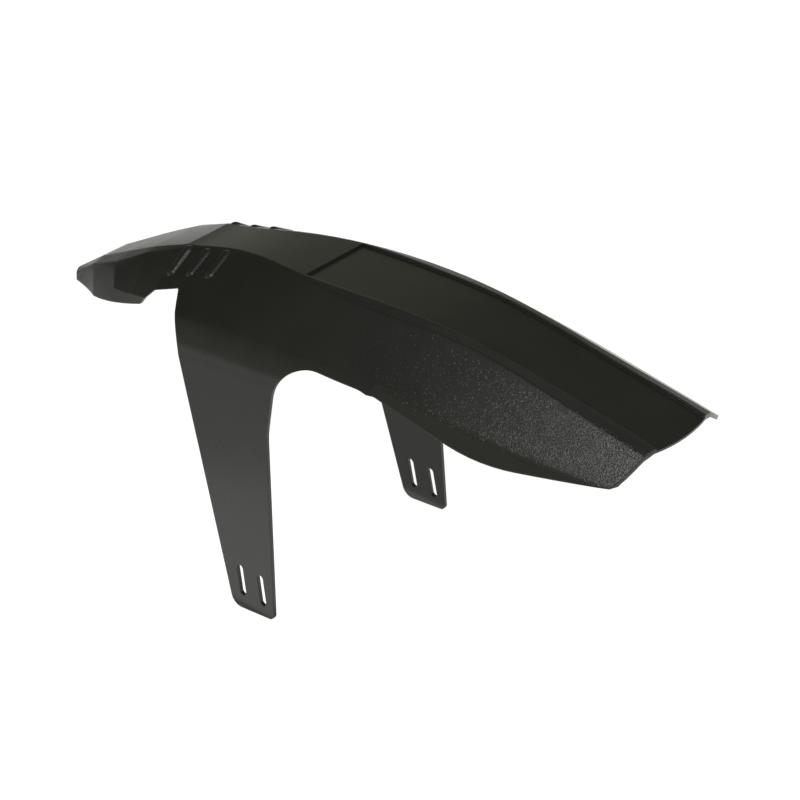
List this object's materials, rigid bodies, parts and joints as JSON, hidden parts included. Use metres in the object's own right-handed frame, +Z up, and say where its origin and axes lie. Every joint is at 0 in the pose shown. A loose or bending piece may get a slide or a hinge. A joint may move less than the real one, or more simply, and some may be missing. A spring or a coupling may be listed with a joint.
{
  "type": "bicycle mudguard",
  "caption": "Short front mudguard for a bicycle fork, moulded in one piece: pointed nose, faceted roof with a sunk rear panel, turned-down lips and flat strap legs.",
  "frame": {"origin": "midway between the two legs, at the middle of their strap slots", "axes": "+X back along the guard towards the tail, +Y across the bicycle, +Z up, as the guard sits on a fork"},
  "size_m": [0.4866, 0.1626, 0.2201],
  "materials": {
    "plastic": "satin black, fine mould grain"
  },
  "bodies": {
    "root": {"mudguard": "plastic"}
  },
  "joints": []
}
